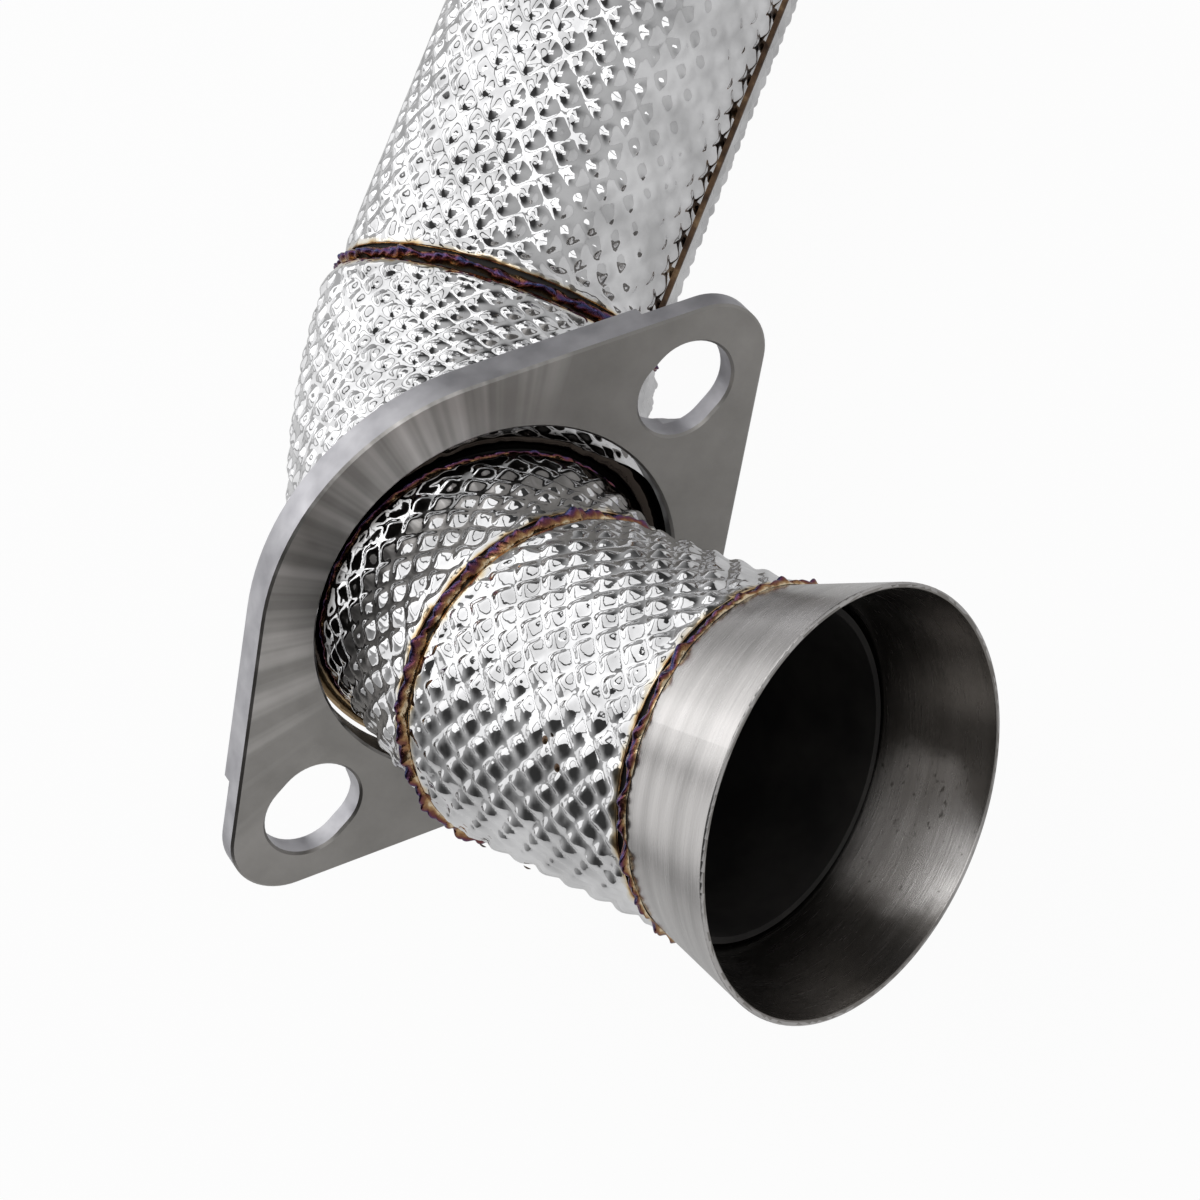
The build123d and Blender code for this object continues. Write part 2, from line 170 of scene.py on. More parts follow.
for lamp_name, lamp in lamps.items():
    lamp_turn = (-Vector(lamp["at"])).to_track_quat("-Z", "Y")
    for strip in range(lamp["strips"]):
        lamp_data = bpy.data.lights.new(lamp_name, "AREA")
        lamp_data.shape = "RECTANGLE"
        lamp_data.size = lamp["wide"]
        lamp_data.size_y = lamp["long"]
        lamp_data.energy = lamp["power"]
        lamp_object = bpy.data.objects.new(lamp_name, lamp_data)
        from_middle = (strip - (lamp["strips"] - 1) / 2) * (lamp["wide"] + lamp["gap"])
        lamp_object.location = Vector(lamp["at"]) + lamp_turn @ Vector((from_middle, 0, 0))
        lamp_object.rotation_euler = lamp_turn.to_euler()
        scene.collection.objects.link(lamp_object)

world = bpy.data.worlds.new("room")
scene.world = world
world.use_nodes = True
room = world.node_tree
directions = room.nodes.new("ShaderNodeTexCoord").outputs["Generated"]
nearness = []
for wall in bright_walls:
    towards = room.nodes.new("ShaderNodeVectorMath")
    towards.operation = "DOT_PRODUCT"
    towards.inputs[1].default_value = wall
    room.links.new(directions, towards.inputs[0])
    nearness.append(towards.outputs["Value"])
fade = room.nodes.new("ShaderNodeMapRange")
fade.interpolation_type = "SMOOTHSTEP"
fade.inputs["From Min"].default_value = wall_edge
fade.inputs["From Max"].default_value = 1.0
fade.inputs["To Min"].default_value = room_dark
fade.inputs["To Max"].default_value = room_bright
room.links.new(math_node(room, "MAXIMUM", *nearness), fade.inputs["Value"])
room.links.new(fade.outputs["Result"], room.nodes["Background"].inputs["Color"])


# Tubes
# One size of drawn stainless tube, mitred and butt welded into an outlet, a neck,
# a mandrel bend and a straight run. Only its near-black bore shows.
tube_r = 38.1 * mm
neck_length = 39.0 * mm
outlet_length = 64.9 * mm
bend_r = 92.5 * mm
bend_weld_before_end = 7.0
bore_black_tones = [(0.35, (0.010, 0.009, 0.009)), (0.7, (0.030, 0.028, 0.026))]


def aim(azimuth, elevation):
    """Unit vector at an azimuth and an elevation in degrees."""
    flat = cos(radians(elevation))
    return Vector(
        (flat * cos(radians(azimuth)), flat * sin(radians(azimuth)), sin(radians(elevation)))
    )


neck_dir = aim(1.3, 2.5)
outlet_dir = aim(17.8, -6.1)
bend_dir = aim(169.5, -4.8)
mounts = {mount["name"]: mount for mount in frame["record"]["mounts"]}
flare_mouth_at = Vector(mounts["outlet_flare"]["pos_m"])
flare_dir = Vector(mounts["outlet_flare"]["axis"]).normalized()
inlet_face_at = Vector(mounts["inlet_bore"]["pos_m"])
run_dir = Vector(mounts["inlet_bore"]["axis"]).normalized()

collar_weld_at = Vector((-5.6, -2.3, -0.8)) * mm
elbow_weld_at = collar_weld_at + neck_dir * neck_length
flare_weld_at = elbow_weld_at + outlet_dir * outlet_length
collar_mitre = (neck_dir - bend_dir).normalized()
elbow_mitre = (neck_dir + outlet_dir).normalized()

bend_turn = bend_dir.angle(run_dir)
bend_up = run_dir.cross(bend_dir).normalized()
bend_side = (run_dir - bend_dir * run_dir.dot(bend_dir)).normalized()
bend_weld_turn = bend_turn - radians(bend_weld_before_end)
bend_arc = bend_r * bend_turn


def new_group(name, inputs, output):
    """Empty node group with its sockets; an input is a name and its socket type."""
    group = bpy.data.node_groups.new(name, "ShaderNodeTree")
    for socket_name, socket_type in inputs.items():
        group.interface.new_socket(socket_name, in_out="INPUT", socket_type=socket_type)
    group.interface.new_socket(output, in_out="OUTPUT", socket_type="NodeSocketFloat")
    given = group.nodes.new("NodeGroupInput").outputs
    result = group.nodes.new("NodeGroupOutput").inputs[output]
    return group, given, result


def place_group(tree, group, **values):
    """A node group in a material, with its own values."""
    node = tree.nodes.new("ShaderNodeGroup")
    node.node_tree = group
    for socket, value in values.items():
        node.inputs[socket].default_value = value
    return node.outputs[0]


def object_point(tree):
    """The point on the piece, in Object coordinates."""
    return tree.nodes.new("ShaderNodeTexCoord").outputs["Object"]


def noise_on(tree, vector):
    """Noise texture on a vector."""
    node = tree.nodes.new("ShaderNodeTexNoise")
    tree.links.new(vector, node.inputs["Vector"])
    return node


grain_group, given, result = new_group(
    "grain",
    {"Scale": "NodeSocketFloat", "Detail": "NodeSocketFloat", "Roughness": "NodeSocketFloat"},
    "Height",
)
grain_noise = noise_on(grain_group, object_point(grain_group))
for socket in ("Scale", "Detail", "Roughness"):
    grain_group.links.new(given[socket], grain_noise.inputs[socket])
grain_group.links.new(grain_noise.outputs["Fac"], result)


def grain(tree, scale, detail=2.0, roughness=0.5):
    """Even grain over a piece, from 0 to 1."""
    return place_group(tree, grain_group, Scale=scale, Detail=detail, Roughness=roughness)


def ramp(tree, name, stops, value):
    """Colour ramp from a list of (position, grey or colour)."""
    node = tree.nodes.new("ShaderNodeValToRGB")
    node.label = name
    elements = node.color_ramp.elements
    while len(elements) < len(stops):
        elements.new(0.5)
    for element, (position, colour) in zip(elements, stops):
        element.position = position
        if isinstance(colour, float):
            colour = (colour, colour, colour)
        element.color = (*colour, 1)
    tree.links.new(value, node.inputs["Fac"])
    return node.outputs["Color"]


def finish_node(node, material):
    """Give a CAD node a material in every slot."""
    mesh = frame["nodes"][node].data
    mesh.materials.clear()
    mesh.materials.append(material)
    for polygon in mesh.polygons:
        polygon.material_index = 0


bore_material, tree, shader = new_material("near_black_bore", Roughness=0.75)
tree.links.new(ramp(tree, "near_black", bore_black_tones, grain(tree, 70.0, 4.0)), shader.inputs["Base Color"])
for tube in ("outlet_tube", "neck_tube", "bend_tube", "run_tube"):
    finish_node(tube, bore_material)


# Dimpled foil
# Bright stainless foil, embossed in a close diamond lattice of pillows, wrapped
# round each tube and pressed smooth and crumpled against the weld rings.
foil_bore_r = 38.3 * mm
foil_r = 39.7 * mm
bend_foil_r = 42.3 * mm
thinnest_foil = 0.15 * mm
bead_width = 4.4 * mm
collar_bead_width = 2.2 * mm
flare_bead_width = 3.6 * mm
inlet_bead_width = 4.0 * mm
inlet_ring_length = 16.0 * mm

pillow_along = 8.4 * mm
pillow_height = 1.05 * mm
pillow_flow = 0.1
mesh_step = 0.64 * mm
merge_within = 1e-6
end_within = 1e-7
end_share = 1e-6
drift_height = 0.45 * mm
drift_scale = 45.0
second_drift = Vector((7, 3, 1))
uneven = 0.5
uneven_scale = 150.0
press_reach = 7.0 * mm
press_middle = 0.5
press_ragged = 0.9
press_least = 0.25
crumple_height = 0.9 * mm
crumple_scale = 210.0
crumple_octaves = 2
crumple_seed = 1
seam_strip = 3.4 * mm
seam_bare_share = 0.2
seam_angle = radians(122.5)
inner_step = 0.5 * mm
rolled_r = 44.3 * mm
rolled_beside = 0.5
rolled_under = 1.4
rolled_low = 2.0
far_from_weld = 20.0
heat_reach = 5.0
heat_shift = -1.9
gold_from_y = -34 * mm
gold_to_y = -40 * mm
# Near-black painted shade for the foil inside the flange's bore.
painted_shade_dark = (0.045, 0.036, 0.030)
scorched_gold = (0.38, 0.27, 0.15)


def straight_line(start, direction):
    """Line of a straight piece: a distance gives centre, direction, side and up."""
    side = direction.cross(Vector((0, 0, 1))).normalized()
    up = side.cross(direction).normalized()

    def at(distance):
        return start + direction * distance, direction, side, up

    return at


def bent_line(distance):
    """The same for the bend and the run, measured from the collar weld."""
    if distance <= 0:
        centre = collar_weld_at + bend_dir * distance
        return centre, bend_dir, bend_side, bend_up
    turn = min(distance / bend_r, bend_turn)
    along = bend_dir * cos(turn) + bend_side * sin(turn)
    inward = bend_side * cos(turn) - bend_dir * sin(turn)
    centre = (
        collar_weld_at
        + bend_dir * (bend_r * sin(turn))
        + bend_side * (bend_r * (1 - cos(turn)))
        + along * max(distance - bend_arc, 0)
    )
    return centre, along, inward, bend_up


def on_pipe(line, distance, angle, radius):
    """Point on a sleeve round a line."""
    centre, _, side, up = line(distance)
    return centre + (side * cos(angle) + up * sin(angle)) * radius


def cut_distance(line, guess, angle, radius, plane_at, plane_normal):
    """Distance along the line at which a sleeve meets a cutting plane."""
    distance = guess
    for _ in range(4):
        _, direction, _, _ = line(distance)
        miss = (on_pipe(line, distance, angle, radius) - plane_at).dot(plane_normal)
        distance -= miss / direction.dot(plane_normal)
    return distance


def smooth_step(value):
    """0 to 1 with soft ends."""
    value = min(max(value, 0.0), 1.0)
    return value * value * (3 - 2 * value)


def leaning_wave(turns, lean):
    """Wave from 0 to 1 whose far side falls more gently than its near side rises."""
    turns += lean * sin(pi * turns) ** 2 / pi
    return 0.5 - 0.5 * cos(2 * pi * turns)


def pillow(along, around, lean, fullness):
    """Height of the embossed lattice, 0 in its grooves and 1 on its crowns."""
    first = leaning_wave(along + around, lean)
    second = leaning_wave(along - around, lean)
    quilted = (first * second) ** fullness
    return quilted + (0.5 * (first + second) - quilted) * pillow_flow


def embossed(flat, distance, turns, edge, lean, fullness):
    """Depth under the crowns at a point of the plain sleeve, and its crumples."""
    drift = Vector(
        (noise.noise(flat * drift_scale), noise.noise(flat * drift_scale + second_drift))
    ) * drift_height
    along = (distance + drift.x) / pillow_along
    around = turns + drift.y / pillow_along
    unevenness = noise.noise(flat * uneven_scale)
    ragged = max(press_middle + press_ragged * unevenness, press_least)
    pressed = 1 - smooth_step(edge / (press_reach * ragged))
    depth = pillow_height * (1 + uneven * unevenness)
    relief = (pillow(along, around, lean, fullness) - 1) * depth * (1 - pressed)
    swirl = noise.turbulence_vector(flat * crumple_scale, crumple_octaves, True)
    return relief, abs(swirl.x) * crumple_height * exp(-(edge / press_reach) ** 2)


def rolled_out(spot, back):
    """The bend foil's front edge, rolled out to the flange's bore on its lower half."""
    spoke = Vector((0, spot.y, spot.z))
    left = smooth_step(rolled_beside - spot.y / tube_r)
    left *= smooth_step(rolled_under - spot.z / tube_r)
    low = smooth_step(-rolled_low * spot.z / tube_r)
    share = max(left, low) * (1 - smooth_step(back))
    return spot + spoke.normalized() * max(rolled_r - spoke.length, 0) * share


def cut_end(at, normal, guess, end_r=38.8 * mm, crimp=2.6 * mm):
    """A cutting plane across the line, where to look for it, and the foil's crimp there."""
    return {"at": at, "normal": normal, "guess": guess, "end_r": end_r, "crimp": crimp}


def wrap_foil(
    name, line, radius, first, last, pillows, inner_rows, lean, fullness,
    scorch_and_shade_reach=0.0, rolled=0.0, seam=None,
):
    """Foil sleeve between two cutting planes, closed by its crimped ends."""
    columns = int(ceil(2 * pi * radius / mesh_step))
    length = abs(last["guess"] - first["guess"])
    rows = int(ceil(length / mesh_step))
    bm = bmesh.new()
    from_weld = bm.verts.layers.float.new("from_weld")
    scorch_and_shade = bm.verts.layers.float.new("scorch_and_shade")
    for layer_rows, inner in ((rows, False), (inner_rows, True)):
        sheet = bmesh.ops.create_grid(bm, x_segments=columns, y_segments=layer_rows, size=0.5)
        ends = {}
        for vert in sheet["verts"]:
            around = vert.co.x + 0.5
            station = vert.co.y + 0.5
            if inner and end_share < station < 1 - end_share:
                share = (station * layer_rows - 1) / (layer_rows - 2)
                station = inner_step / length + (1 - 2 * inner_step / length) * share
            angle = 2 * pi * around
            key = round(around * columns)
            if key not in ends:
                ends[key] = [
                    cut_distance(line, end["guess"], angle, radius, end["at"], end["normal"])
                    for end in (first, last)
                ]
            start, stop = ends[key]
            distance = start + (stop - start) * station
            edge = min(abs(distance - start), abs(stop - distance))
            at_end = edge < end_within
            at_first = distance - start < stop - distance
            nearer = first if at_first else last
            end_r = nearer["end_r"]
            if inner:
                level = end_r if at_end else foil_bore_r
            else:
                flat = on_pipe(line, distance, angle, radius)
                relief, crumple = embossed(flat, distance, around * pillows, edge, lean, fullness)
                if seam is not None:
                    off_seam = abs((angle - seam + pi) % (2 * pi) - pi) * radius
                    relief *= smooth_step(off_seam / seam_strip - seam_bare_share)
                relief -= crumple
                rise = smooth_step(edge / nearer["crimp"])
                level = end_r + (radius - end_r) * rise + min(relief, 0.0) * rise
                level = max(level, foil_bore_r + thinnest_foil)
            spot = on_pipe(line, distance, angle, level)
            if distance - start < rolled and (not inner or at_end):
                spot = rolled_out(spot, (distance - start) / rolled)
            vert.co = spot
            vert[from_weld] = far_from_weld if scorch_and_shade_reach and at_first else edge / mm
            # Share of painted shade and gold heat tint, fading out over the given reach from the
            # first end.
            vert[scorch_and_shade] = 1 - smooth_step((distance - start) / scorch_and_shade_reach) if scorch_and_shade_reach else 0.0
    bmesh.ops.remove_doubles(bm, verts=bm.verts, dist=merge_within)
    bmesh.ops.recalc_face_normals(bm, faces=bm.faces)
    piece = new_object(name, bm, "pipe")
    piece.data.materials.append(foil_material)
    return piece


def mix_colour(tree, factor, first, second, blend="MIX"):
    """Mix of two colours; each input is a socket or a colour."""
    node = tree.nodes.new("ShaderNodeMix")
    node.data_type = "RGBA"
    node.blend_type = blend
    pairs = ((node.inputs[0], factor), (node.inputs[6], first), (node.inputs[7], second))
    for socket, operand in pairs:
        if isinstance(operand, (int, float)):
            socket.default_value = operand
        elif isinstance(operand, tuple):
            socket.default_value = (*operand, 1)
        else:
            tree.links.new(operand, socket)
    return node.outputs[2]


def attribute(tree, name):
    """One of the mesh's own attributes."""
    node = tree.nodes.new("ShaderNodeAttribute")
    node.attribute_name = name
    return node.outputs["Fac"]


def mask_between(tree, value, start, stop, soft=True):
    """Mask from 0 to 1 as a value goes from start to stop."""
    node = tree.nodes.new("ShaderNodeMapRange")
    if soft:
        node.interpolation_type = "SMOOTHSTEP"
    node.inputs["From Min"].default_value = start
    node.inputs["From Max"].default_value = stop
    tree.links.new(value, node.inputs["Value"])
    return node.outputs["Result"]


def bump(tree, shader, height, strength, distance):
    """Bump node that feeds the shader's normal."""
    node = tree.nodes.new("ShaderNodeBump")
    node.inputs["Strength"].default_value = strength
    node.inputs["Distance"].default_value = distance
    tree.links.new(height, node.inputs["Height"])
    tree.links.new(node.outputs["Normal"], shader.inputs["Normal"])


foil_material, tree, shader = new_material("embossed_foil", Metallic=1.0, Roughness=0.05)
ragged_heat = math_node(tree, "MULTIPLY_ADD", grain(tree, 190.0, 3.0), heat_reach, heat_shift)
heated = math_node(tree, "ADD", attribute(tree, "from_weld"), ragged_heat)
halo = ramp(
    tree,
    "heat halo",
    [
        (0.0, (0.16, 0.07, 0.06)),
        (0.08, (0.36, 0.20, 0.09)),
        (0.18, (0.72, 0.52, 0.28)),
        (0.32, (0.86, 0.80, 0.68)),
        (0.5, (0.87, 0.87, 0.88)),
    ],
    math_node(tree, "DIVIDE", heated, heat_reach),
)
grime = ramp(tree, "grime", [(0.35, 0.72), (0.62, 1.0)], grain(tree, 90.0, 4.0))
foil_colour = mix_colour(tree, 1.0, halo, grime, "MULTIPLY")
# Near the collar, inside the flange's bore, the neck and bend foils are painted near black as shade,
# with a real gold heat tint on the side towards negative Y.
sides = tree.nodes.new("ShaderNodeSeparateXYZ")
tree.links.new(object_point(tree), sides.inputs["Vector"])
gold_side = mask_between(tree, sides.outputs["Y"], gold_from_y, gold_to_y, soft=False)
gold_tint_and_shade = mix_colour(tree, gold_side, painted_shade_dark, scorched_gold)
foil_colour = mix_colour(tree, attribute(tree, "scorch_and_shade"), foil_colour, gold_tint_and_shade)
tree.links.new(foil_colour, shader.inputs["Base Color"])
bump(tree, shader, grain(tree, 330.0, 1.0), 0.3, 0.6 * mm)

# Without a seed, turbulence_vector takes its offsets from the clock.
noise.seed_set(crumple_seed)
half_bead = bead_width / 2
half_collar_bead = collar_bead_width / 2
neck_foil = wrap_foil(
    "neck_foil",
    straight_line(collar_weld_at, neck_dir),
    foil_r,
    cut_end(collar_weld_at + collar_mitre * half_collar_bead, collar_mitre, 0.0, crimp=1.2 * mm),
    cut_end(elbow_weld_at - elbow_mitre * half_bead, elbow_mitre, neck_length),
    pillows=30,
    inner_rows=3,
    lean=0.3,
    fullness=0.6,
    scorch_and_shade_reach=6.0 * mm,
)
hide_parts("neck_shield")

outlet_foil = wrap_foil(
    "outlet_foil",
    straight_line(elbow_weld_at, outlet_dir),
    foil_r,
    cut_end(elbow_weld_at + elbow_mitre * half_bead, elbow_mitre, 0.0),
    cut_end(flare_weld_at - flare_dir * flare_bead_width, flare_dir, outlet_length),
    pillows=30,
    inner_rows=3,
    lean=0.3,
    fullness=0.6,
)
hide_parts("outlet_shield")

bend_weld_guess = bend_r * bend_weld_turn
bend_weld_at, bend_weld_dir, _, _ = bent_line(bend_weld_guess)
bend_foil = wrap_foil(
    "bend_foil",
    bent_line,
    bend_foil_r,
    cut_end(
        collar_weld_at - collar_mitre * half_collar_bead, -collar_mitre, 0.0, 41.9 * mm, 0.8 * mm
    ),
    cut_end(bend_weld_at - bend_weld_dir * half_bead, bend_weld_dir, bend_weld_guess, 40.3 * mm),
    pillows=32,
    inner_rows=24,
    lean=0.2,
    fullness=0.75,
    scorch_and_shade_reach=17.0 * mm,
    rolled=5.0 * mm,
)
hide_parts("bend_shield")

run_stop = inlet_face_at - run_dir * (inlet_ring_length + inlet_bead_width)
run_guess = bend_arc + (run_stop - bent_line(bend_arc)[0]).dot(run_dir)
run_foil = wrap_foil(
    "run_foil",
    bent_line,
    foil_r,
    cut_end(bend_weld_at + bend_weld_dir * half_bead, bend_weld_dir, bend_weld_guess),
    cut_end(run_stop, run_dir, run_guess),
    pillows=30,
    inner_rows=16,
    lean=0.2,
    fullness=0.75,
    seam=seam_angle,
)
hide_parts("run_shield")


# Weld rings
# Hand-laid beads of overlapping ripples, dark blue and purple along the crown
# and brown to gold at their toes.
bead_crown = 1.9 * mm
bead_flatness = 0.8
collar_crown = 1.0 * mm
flare_toe = 0.8 * mm
flare_crown = 1.3 * mm
flare_climb = 0.75
ripple_pitch = 2.9 * mm
ripple_height = 0.6 * mm
ripple_sharpness = 1.8
ripple_slant = 0.8
ripple_wander = 0.9
ripple_wander_scale = 90.0
bead_wobble = 1.2 * mm
wobble_scale = 130.0
least_spread = 0.66
more_spread = 0.6
spread_offset = Vector((5, 0, 0))
puddle_height = 1.6 * mm
puddle_scale = 260.0
grit_height = 0.3 * mm
grit_scale = 520.0
grit_stretch = 2.0
bead_sink = 0.2 * mm
bead_step = 0.36 * mm
bead_rows = 16
tint_spread = 0.7
tint_shift = -0.33


def weld_ring(name, at, axis, profile, radius_at, node, bulk=1.0):
    """Rippled bead round the pipe; profile gives distance and height at 0 to 1."""
    line = straight_line(at, axis)
    columns = int(ceil(2 * pi * tube_r / bead_step))
    ripples = round(2 * pi * tube_r / ripple_pitch)
    bm = bmesh.new()
    across_layer = bm.verts.layers.float.new("across")
    for rows, outer in ((bead_rows, True), (1, False)):
        sheet = bmesh.ops.create_grid(bm, x_segments=columns, y_segments=rows, size=0.5)
        for vert in sheet["verts"]:
            angle = 2 * pi * (vert.co.x + 0.5)
            across = vert.co.y + 0.5
            shift, height = profile(across)
            base = radius_at(angle)
            spot = on_pipe(line, 0.0, angle, base)
            crown = sin(pi * across)
            if outer:
                wander = noise.noise(spot * wobble_scale)
                spread = least_spread + more_spread * noise.noise(spot * puddle_scale + spread_offset)
                phase = ripples * (angle / (2 * pi)) + ripple_slant * crown
                phase += ripple_wander * noise.noise(spot * ripple_wander_scale)
                ripple = 1 - abs((phase % 1.0) * 2 - 1) ** ripple_sharpness
                puddle = noise.noise(spot * puddle_scale) * puddle_height
                speck = Vector((shift, height, across)) * grit_stretch
                grit = noise.noise((spot + line(shift)[1] * shift) * grit_scale + speck) * grit_height
                height += crown * bulk * (ripple * ripple_height - bead_sink + puddle + grit)
                shift = shift * spread + wander * bead_wobble * bulk * (0.5 + 0.5 * crown)
            else:
                height = -bead_sink
            vert.co = on_pipe(line, shift, angle, base + max(height, -bead_sink))
            vert[across_layer] = across
    bmesh.ops.remove_doubles(bm, verts=bm.verts, dist=merge_within)
    bmesh.ops.recalc_face_normals(bm, faces=bm.faces)
    piece = new_object(name, bm, "pipe")
    piece.data.materials.append(weld_material)
    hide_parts(node)


def ring_profile(across):
    """Full round bead on a mitre or a butt joint."""
    return (across - 0.5) * bead_width, bead_crown * sin(pi * across) ** bead_flatness


def collar_profile(across):
    """Small bead inside the flange's bore."""
    return (across - 0.5) * collar_bead_width, collar_crown * sin(pi * across)


def flare_profile(across):
    """Bead that climbs from the tube onto the flare's thicker end."""
    climb = sin(pi * across * flare_climb)
    return (across - 1) * flare_bead_width, flare_toe + flare_crown * climb


def mitre_radius(at, mitre, front_dir):
    """Radius of the two mitred tubes where they meet a weld's plane."""
    _, _, side, up = straight_line(at, mitre)(0.0)

    def radius(angle):
        slope = (side * cos(angle) + up * sin(angle)).dot(front_dir)
        return tube_r / sqrt(1 - slope * slope)

    return radius


def butt_radius(angle):
    """Radius of the tube where it is cut square."""
    return tube_r


weld_material, tree, shader = new_material("tinted_bead", Metallic=0.95, Roughness=0.12)
off_crown = math_node(tree, "SUBTRACT", attribute(tree, "across"), 0.5)
off_crown = math_node(tree, "ABSOLUTE", off_crown)
blotches = math_node(tree, "MULTIPLY_ADD", grain(tree, 330.0, 3.0), tint_spread, tint_shift)
tint = ramp(
    tree,
    "heat tint",
    [
        (0.0, (0.050, 0.060, 0.150)),
        (0.12, (0.120, 0.055, 0.140)),
        (0.24, (0.17, 0.055, 0.065)),
        (0.35, (0.24, 0.11, 0.06)),
        (0.44, (0.46, 0.28, 0.13)),
        (0.52, (0.80, 0.66, 0.46)),
    ],
    math_node(tree, "ADD", off_crown, blotches),
)
tree.links.new(tint, shader.inputs["Base Color"])
bump(tree, shader, grain(tree, 480.0, 3.0, 0.6), 0.6, 0.6 * mm)

weld_ring(
    "elbow_bead",
    elbow_weld_at,
    elbow_mitre,
    ring_profile,
    mitre_radius(elbow_weld_at, elbow_mitre, outlet_dir),
    "elbow_weld",
)
weld_ring(
    "collar_bead",
    collar_weld_at,
    collar_mitre,
    collar_profile,
    mitre_radius(collar_weld_at, collar_mitre, neck_dir),
    "collar_weld",
    bulk=0.4,
)
weld_ring("bend_bead", bend_weld_at, bend_weld_dir, ring_profile, butt_radius, "bend_weld")
weld_ring("flare_bead", flare_weld_at, flare_dir, flare_profile, butt_radius, "flare_weld")


# Outlet flare
# A turned stainless cone with a thin lip, welded to the outlet tube. Its outside
# is brushed round the axis. Its inside is painted darker towards the tube as shade,
# and has one bright, scratched patch that is a painted highlight.
line_stretch = 0.04
depth_shade_from = 21 * mm
depth_shade_to = 29 * mm
# Painted highlight patch on the cone's inside.
highlight_at = Vector((101, 21, -50)) * mm
highlight_out = 31 * mm
highlight_in = 22 * mm
highlight_ragged = 20 * mm
outer_lines = [(0.3, (0.38, 0.367, 0.36)), (0.7, (0.56, 0.545, 0.54))]
outer_bands = [(0.35, (0.42, 0.41, 0.40)), (0.65, (0.68, 0.66, 0.65))]
inner_bands = [(0.3, (0.17, 0.16, 0.15)), (0.7, (0.38, 0.36, 0.345))]
inner_smears = [(0.35, (0.18, 0.17, 0.155)), (0.65, (0.40, 0.38, 0.36))]
highlight_bands = [(0.3, (0.62, 0.60, 0.585)), (0.7, (0.95, 0.93, 0.92))]
scratch_scale = 900.0
scratch_detail = 2.0
scratch_colour = (0.30, 0.285, 0.27)
cone_depth_shade = (0.035, 0.032, 0.030)


def vector_node(tree, operation, first, second=None):
    """One Vector Math node; each operand is a socket or a plain vector."""
    node = tree.nodes.new("ShaderNodeVectorMath")
    node.operation = operation
    for socket, operand in zip(node.inputs, (first, second)):
        if isinstance(operand, bpy.types.NodeSocket):
            tree.links.new(operand, socket)
        elif operand is not None:
            socket.default_value = operand
    return node.outputs


def upright(direction):
    """Turn that stands a direction on Z."""
    return direction.rotation_difference(Vector((0, 0, 1))).to_euler()


def turned_about(tree, at, turn):
    """Object coordinates from a point, turned so that Z runs along an axis."""
    moved = vector_node(tree, "SUBTRACT", object_point(tree), at)["Vector"]
    node = tree.nodes.new("ShaderNodeMapping")
    node.vector_type = "POINT"
    tree.links.new(moved, node.inputs["Vector"])
    if isinstance(turn, bpy.types.NodeSocket):
        tree.links.new(turn, node.inputs["Rotation"])
    else:
        node.inputs["Rotation"].default_value = turn
    return node.outputs["Vector"]


turned_group, given, result = new_group(
    "turned_lines",
    {
        "At": "NodeSocketVector",
        "Turn": "NodeSocketVector",
        "Scale": "NodeSocketFloat",
        "Detail": "NodeSocketFloat",
        "Roughness": "NodeSocketFloat",
    },
    "Lines",
)
drawn_out = vector_node(
    turned_group,
    "MULTIPLY",
    turned_about(turned_group, given["At"], given["Turn"]),
    (line_stretch, line_stretch, 1.0),
)
turned_noise = noise_on(turned_group, drawn_out["Vector"])
for socket in ("Scale", "Detail", "Roughness"):
    turned_group.links.new(given[socket], turned_noise.inputs[socket])
turned_group.links.new(turned_noise.outputs["Fac"], result)


def turned_lines(tree, at, direction, scale, detail, roughness):
    """Fine lines round an axis, as a lathe leaves them."""
    return place_group(
        tree,
        turned_group,
        At=at,
        Turn=upright(direction),
        Scale=scale,
        Detail=detail,
        Roughness=roughness,
    )


def set_noise(tree, vector, scale, detail, roughness=0.5):
    """Noise on a vector, with plain numbers."""
    node = noise_on(tree, vector)
    node.inputs["Scale"].default_value = scale
    node.inputs["Detail"].default_value = detail
    node.inputs["Roughness"].default_value = roughness
    return node.outputs["Fac"]


def scratches_along(tree, vector, shares):
    """Noise drawn out along one way of a vector."""
    drawn_long = vector_node(tree, "MULTIPLY", vector, shares)["Vector"]
    return set_noise(tree, drawn_long, scratch_scale, scratch_detail)


def inner_wall(tree, at, direction):
    """Mask that is 1 where a turned wall faces its own axis."""
    spoke = vector_node(tree, "SUBTRACT", object_point(tree), at)["Vector"]
    along = vector_node(tree, "PROJECT", spoke, direction)["Vector"]
    out = vector_node(tree, "SUBTRACT", spoke, along)["Vector"]
    normal = tree.nodes.new("ShaderNodeTexCoord").outputs["Normal"]
    facing = vector_node(tree, "DOT_PRODUCT", out, normal)["Value"]
    return math_node(tree, "LESS_THAN", facing, 0.0)


flare_material, tree, shader = new_material("brushed_flare", Metallic=1.0)
lines = turned_lines(tree, flare_mouth_at, flare_dir, 2600.0, 3.0, 0.6)
bands = turned_lines(tree, flare_mouth_at, flare_dir, 230.0, 2.0, 0.5)
outer = ramp(tree, "brushing", outer_lines, lines)
outer = mix_colour(tree, 0.5, outer, ramp(tree, "bands", outer_bands, bands))

round_axis = turned_about(tree, flare_mouth_at, upright(flare_dir))
smears = set_noise(tree, round_axis, 55.0, 4.0, 0.6)
inner = ramp(tree, "burnt streaks", inner_bands, bands)
inner = mix_colour(tree, 0.5, inner, ramp(tree, "smears", inner_smears, smears))
